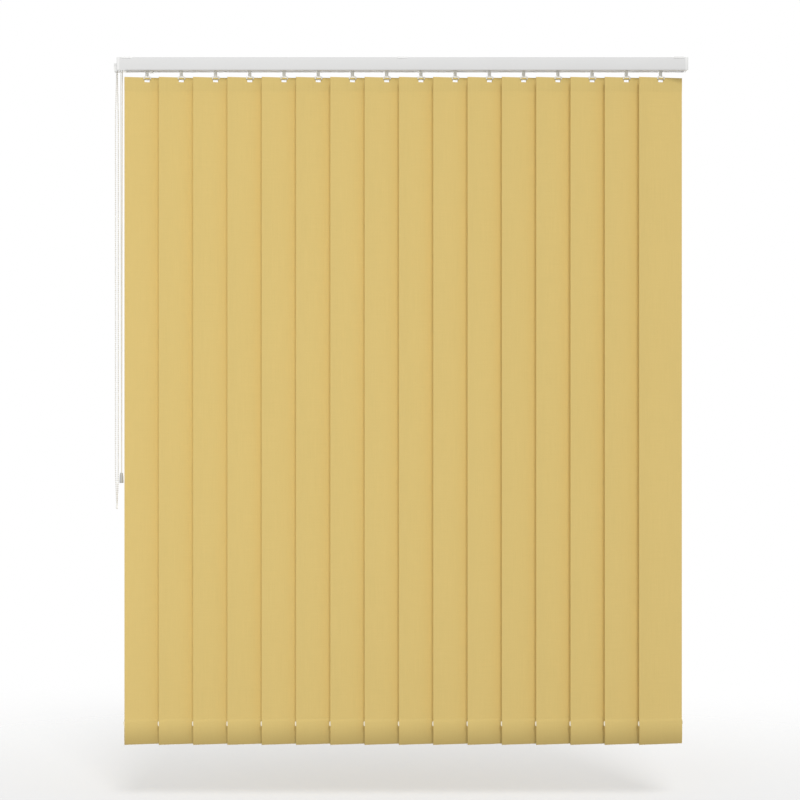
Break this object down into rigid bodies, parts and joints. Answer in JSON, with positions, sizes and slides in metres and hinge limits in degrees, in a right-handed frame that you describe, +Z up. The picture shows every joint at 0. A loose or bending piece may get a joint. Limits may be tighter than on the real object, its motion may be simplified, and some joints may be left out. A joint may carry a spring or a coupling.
{
  "type": "vertical blind",
  "caption": "Vertical fabric blind: overlapping hung vanes on geared carriers in a slim headrail, with a chain to tilt them and a cord to draw them aside.",
  "frame": {"origin": "middle of the three fixing holes, on the plane that the brackets are screwed up to", "axes": "+X along the headrail away from the controls, +Y from the room towards the window, +Z up"},
  "size_m": [1.1225, 0.0416, 1.344],
  "materials": {
    "rail_white": "white powder coat, satin",
    "cap_white": "moulded, satin",
    "bracket_white": "white painted spring steel",
    "rod_aluminium": "drawn, plain",
    "pulley_white": "moulded, low friction",
    "cord_white": "braided polyester",
    "weight_grey": "moulded",
    "chain_white": "moulded beads on a thread",
    "carrier_white": "moulded, low friction",
    "hook_clear": "translucent moulding",
    "vane_fabric": "plain weave, lets light through"
  },
  "bodies": {
    "headrail_assembly": {"headrail": "rail_white", "control_end_cap": "cap_white", "far_end_cap": "cap_white", "mounting_brackets": "bracket_white", "draw_cord": "cord_white", "cord_weight": "weight_grey", "control_chain": "chain_white", "carrier_01": "carrier_white"},
    "rod_assembly": {"tilt_rod": "rod_aluminium", "chain_wheel": "pulley_white"},
    "front_cord_pulley": {"control_pulley_front": "pulley_white"},
    "back_cord_pulley": {"control_pulley_back": "pulley_white"},
    "end_cord_pulley": {"return_pulley": "pulley_white"},
    "truck_02": {"carrier_02": "carrier_white"},
    "truck_03": {"carrier_03": "carrier_white"},
    "truck_04": {"carrier_04": "carrier_white"},
    "truck_05": {"carrier_05": "carrier_white"},
    "truck_06": {"carrier_06": "carrier_white"},
    "truck_07": {"carrier_07": "carrier_white"},
    "truck_08": {"carrier_08": "carrier_white"},
    "truck_09": {"carrier_09": "carrier_white"},
    "truck_10": {"carrier_10": "carrier_white"},
    "truck_11": {"carrier_11": "carrier_white"},
    "truck_12": {"carrier_12": "carrier_white"},
    "truck_13": {"carrier_13": "carrier_white"},
    "truck_14": {"carrier_14": "carrier_white"},
    "truck_15": {"carrier_15": "carrier_white"},
    "truck_16": {"carrier_16": "carrier_white"},
    "hung_vane_01": {"hook_01": "hook_clear", "vane_01": "vane_fabric"},
    "hung_vane_02": {"hook_02": "hook_clear", "vane_02": "vane_fabric"},
    "hung_vane_03": {"hook_03": "hook_clear", "vane_03": "vane_fabric"},
    "hung_vane_04": {"hook_04": "hook_clear", "vane_04": "vane_fabric"},
    "hung_vane_05": {"hook_05": "hook_clear", "vane_05": "vane_fabric"},
    "hung_vane_06": {"hook_06": "hook_clear", "vane_06": "vane_fabric"},
    "hung_vane_07": {"hook_07": "hook_clear", "vane_07": "vane_fabric"},
    "hung_vane_08": {"hook_08": "hook_clear", "vane_08": "vane_fabric"},
    "hung_vane_09": {"hook_09": "hook_clear", "vane_09": "vane_fabric"},
    "hung_vane_10": {"hook_10": "hook_clear", "vane_10": "vane_fabric"},
    "hung_vane_11": {"hook_11": "hook_clear", "vane_11": "vane_fabric"},
    "hung_vane_12": {"hook_12": "hook_clear", "vane_12": "vane_fabric"},
    "hung_vane_13": {"hook_13": "hook_clear", "vane_13": "vane_fabric"},
    "hung_vane_14": {"hook_14": "hook_clear", "vane_14": "vane_fabric"},
    "hung_vane_15": {"hook_15": "hook_clear", "vane_15": "vane_fabric"},
    "hung_vane_16": {"hook_16": "hook_clear", "vane_16": "vane_fabric"}
  },
  "joints": [
    {"name": "truck_02_slide", "type": "slide", "parent": "headrail_assembly", "child": "truck_02", "axis": [-1, 0, 0], "range_m": [0, 0.05]},
    {"name": "truck_03_slide", "type": "slide", "parent": "headrail_assembly", "child": "truck_03", "axis": [-1, 0, 0], "range_m": [0, 0.1]},
    {"name": "truck_04_slide", "type": "slide", "parent": "headrail_assembly", "child": "truck_04", "axis": [-1, 0, 0], "range_m": [0, 0.15]},
    {"name": "truck_05_slide", "type": "slide", "parent": "headrail_assembly", "child": "truck_05", "axis": [-1, 0, 0], "range_m": [0, 0.2]},
    {"name": "truck_06_slide", "type": "slide", "parent": "headrail_assembly", "child": "truck_06", "axis": [-1, 0, 0], "range_m": [0, 0.25]},
    {"name": "truck_07_slide", "type": "slide", "parent": "headrail_assembly", "child": "truck_07", "axis": [-1, 0, 0], "range_m": [0, 0.3]},
    {"name": "truck_08_slide", "type": "slide", "parent": "headrail_assembly", "child": "truck_08", "axis": [-1, 0, 0], "range_m": [0, 0.35]},
    {"name": "truck_09_slide", "type": "slide", "parent": "headrail_assembly", "child": "truck_09", "axis": [-1, 0, 0], "range_m": [0, 0.4]},
    {"name": "truck_10_slide", "type": "slide", "parent": "headrail_assembly", "child": "truck_10", "axis": [-1, 0, 0], "range_m": [0, 0.45]},
    {"name": "truck_11_slide", "type": "slide", "parent": "headrail_assembly", "child": "truck_11", "axis": [-1, 0, 0], "range_m": [0, 0.5]},
    {"name": "truck_12_slide", "type": "slide", "parent": "headrail_assembly", "child": "truck_12", "axis": [-1, 0, 0], "range_m": [0, 0.55]},
    {"name": "truck_13_slide", "type": "slide", "parent": "headrail_assembly", "child": "truck_13", "axis": [-1, 0, 0], "range_m": [0, 0.6]},
    {"name": "truck_14_slide", "type": "slide", "parent": "headrail_assembly", "child": "truck_14", "axis": [-1, 0, 0], "range_m": [0, 0.65]},
    {"name": "truck_15_slide", "type": "slide", "parent": "headrail_assembly", "child": "truck_15", "axis": [-1, 0, 0], "range_m": [0, 0.7]},
    {"name": "truck_16_slide", "type": "slide", "parent": "headrail_assembly", "child": "truck_16", "axis": [-1, 0, 0], "range_m": [0, 0.75]},
    {"name": "vane_01_tilt", "type": "hinge", "parent": "headrail_assembly", "child": "hung_vane_01", "pos_m": [-0.4998, -0.00215, 0], "axis": [0, 0, 1], "range_deg": [0, 150]},
    {"name": "vane_02_tilt", "type": "hinge", "parent": "truck_02", "child": "hung_vane_02", "pos_m": [-0.4328, -0.00215, 0], "axis": [0, 0, 1], "range_deg": [0, 150]},
    {"name": "vane_03_tilt", "type": "hinge", "parent": "truck_03", "child": "hung_vane_03", "pos_m": [-0.3658, -0.00215, 0], "axis": [0, 0, 1], "range_deg": [0, 150]},
    {"name": "vane_04_tilt", "type": "hinge", "parent": "truck_04", "child": "hung_vane_04", "pos_m": [-0.2988, -0.00215, 0], "axis": [0, 0, 1], "range_deg": [0, 150]},
    {"name": "vane_05_tilt", "type": "hinge", "parent": "truck_05", "child": "hung_vane_05", "pos_m": [-0.2318, -0.00215, 0], "axis": [0, 0, 1], "range_deg": [0, 150]},
    {"name": "vane_06_tilt", "type": "hinge", "parent": "truck_06", "child": "hung_vane_06", "pos_m": [-0.1648, -0.00215, 0], "axis": [0, 0, 1], "range_deg": [0, 150]},
    {"name": "vane_07_tilt", "type": "hinge", "parent": "truck_07", "child": "hung_vane_07", "pos_m": [-0.0978, -0.00215, 0], "axis": [0, 0, 1], "range_deg": [0, 150]},
    {"name": "vane_08_tilt", "type": "hinge", "parent": "truck_08", "child": "hung_vane_08", "pos_m": [-0.0308, -0.00215, 0], "axis": [0, 0, 1], "range_deg": [0, 150]},
    {"name": "vane_09_tilt", "type": "hinge", "parent": "truck_09", "child": "hung_vane_09", "pos_m": [0.0362, -0.00215, 0], "axis": [0, 0, 1], "range_deg": [0, 150]},
    {"name": "vane_10_tilt", "type": "hinge", "parent": "truck_10", "child": "hung_vane_10", "pos_m": [0.1032, -0.00215, 0], "axis": [0, 0, 1], "range_deg": [0, 150]},
    {"name": "vane_11_tilt", "type": "hinge", "parent": "truck_11", "child": "hung_vane_11", "pos_m": [0.1702, -0.00215, 0], "axis": [0, 0, 1], "range_deg": [0, 150]},
    {"name": "vane_12_tilt", "type": "hinge", "parent": "truck_12", "child": "hung_vane_12", "pos_m": [0.2372, -0.00215, 0], "axis": [0, 0, 1], "range_deg": [0, 150]},
    {"name": "vane_13_tilt", "type": "hinge", "parent": "truck_13", "child": "hung_vane_13", "pos_m": [0.3042, -0.00215, 0], "axis": [0, 0, 1], "range_deg": [0, 150]},
    {"name": "vane_14_tilt", "type": "hinge", "parent": "truck_14", "child": "hung_vane_14", "pos_m": [0.3712, -0.00215, 0], "axis": [0, 0, 1], "range_deg": [0, 150]},
    {"name": "vane_15_tilt", "type": "hinge", "parent": "truck_15", "child": "hung_vane_15", "pos_m": [0.4382, -0.00215, 0], "axis": [0, 0, 1], "range_deg": [0, 150]},
    {"name": "vane_16_tilt", "type": "hinge", "parent": "truck_16", "child": "hung_vane_16", "pos_m": [0.5052, -0.00215, 0], "axis": [0, 0, 1], "range_deg": [0, 150]},
    {"name": "rod_spin", "type": "hinge", "parent": "headrail_assembly", "child": "rod_assembly", "pos_m": [0, 0.008, -0.01965], "axis": [1, 0, 0], "range_deg": [0, 900]},
    {"name": "end_pulley_spin", "type": "hinge", "parent": "headrail_assembly", "child": "end_cord_pulley", "pos_m": [0.5345, 0, -0.01256], "axis": [0, 0, 1], "range_deg": [-3092, 0]},
    {"name": "front_pulley_spin", "type": "hinge", "parent": "headrail_assembly", "child": "front_cord_pulley", "pos_m": [-0.545, -0.0139, -0.01756], "axis": [0, 1, 0], "range_deg": [-8595, 0]},
    {"name": "back_pulley_spin", "type": "hinge", "parent": "headrail_assembly", "child": "back_cord_pulley", "pos_m": [-0.545, 0.0139, -0.01756], "axis": [0, 1, 0], "range_deg": [0, 8595]}
  ],
  "couplings": [
    {"joint": "truck_02_slide", "follows": "truck_16_slide", "ratio": 0.066667},
    {"joint": "truck_03_slide", "follows": "truck_16_slide", "ratio": 0.13333},
    {"joint": "truck_04_slide", "follows": "truck_16_slide", "ratio": 0.2},
    {"joint": "truck_05_slide", "follows": "truck_16_slide", "ratio": 0.26667},
    {"joint": "truck_06_slide", "follows": "truck_16_slide", "ratio": 0.33333},
    {"joint": "truck_07_slide", "follows": "truck_16_slide", "ratio": 0.4},
    {"joint": "truck_08_slide", "follows": "truck_16_slide", "ratio": 0.46667},
    {"joint": "truck_09_slide", "follows": "truck_16_slide", "ratio": 0.53333},
    {"joint": "truck_10_slide", "follows": "truck_16_slide", "ratio": 0.6},
    {"joint": "truck_11_slide", "follows": "truck_16_slide", "ratio": 0.66667},
    {"joint": "truck_12_slide", "follows": "truck_16_slide", "ratio": 0.73333},
    {"joint": "truck_13_slide", "follows": "truck_16_slide", "ratio": 0.8},
    {"joint": "truck_14_slide", "follows": "truck_16_slide", "ratio": 0.86667},
    {"joint": "truck_15_slide", "follows": "truck_16_slide", "ratio": 0.93333},
    {"joint": "vane_02_tilt", "follows": "vane_01_tilt", "ratio": 1},
    {"joint": "vane_03_tilt", "follows": "vane_01_tilt", "ratio": 1},
    {"joint": "vane_04_tilt", "follows": "vane_01_tilt", "ratio": 1},
    {"joint": "vane_05_tilt", "follows": "vane_01_tilt", "ratio": 1},
    {"joint": "vane_06_tilt", "follows": "vane_01_tilt", "ratio": 1},
    {"joint": "vane_07_tilt", "follows": "vane_01_tilt", "ratio": 1},
    {"joint": "vane_08_tilt", "follows": "vane_01_tilt", "ratio": 1},
    {"joint": "vane_09_tilt", "follows": "vane_01_tilt", "ratio": 1},
    {"joint": "vane_10_tilt", "follows": "vane_01_tilt", "ratio": 1},
    {"joint": "vane_11_tilt", "follows": "vane_01_tilt", "ratio": 1},
    {"joint": "vane_12_tilt", "follows": "vane_01_tilt", "ratio": 1},
    {"joint": "vane_13_tilt", "follows": "vane_01_tilt", "ratio": 1},
    {"joint": "vane_14_tilt", "follows": "vane_01_tilt", "ratio": 1},
    {"joint": "vane_15_tilt", "follows": "vane_01_tilt", "ratio": 1},
    {"joint": "vane_16_tilt", "follows": "vane_01_tilt", "ratio": 1},
    {"joint": "rod_spin", "follows": "vane_01_tilt", "ratio": 6},
    {"joint": "end_pulley_spin", "follows": "truck_16_slide", "rad_per_m": -71.942},
    {"joint": "front_pulley_spin", "follows": "truck_16_slide", "rad_per_m": -200},
    {"joint": "back_pulley_spin", "follows": "truck_16_slide", "rad_per_m": 200}
  ]
}
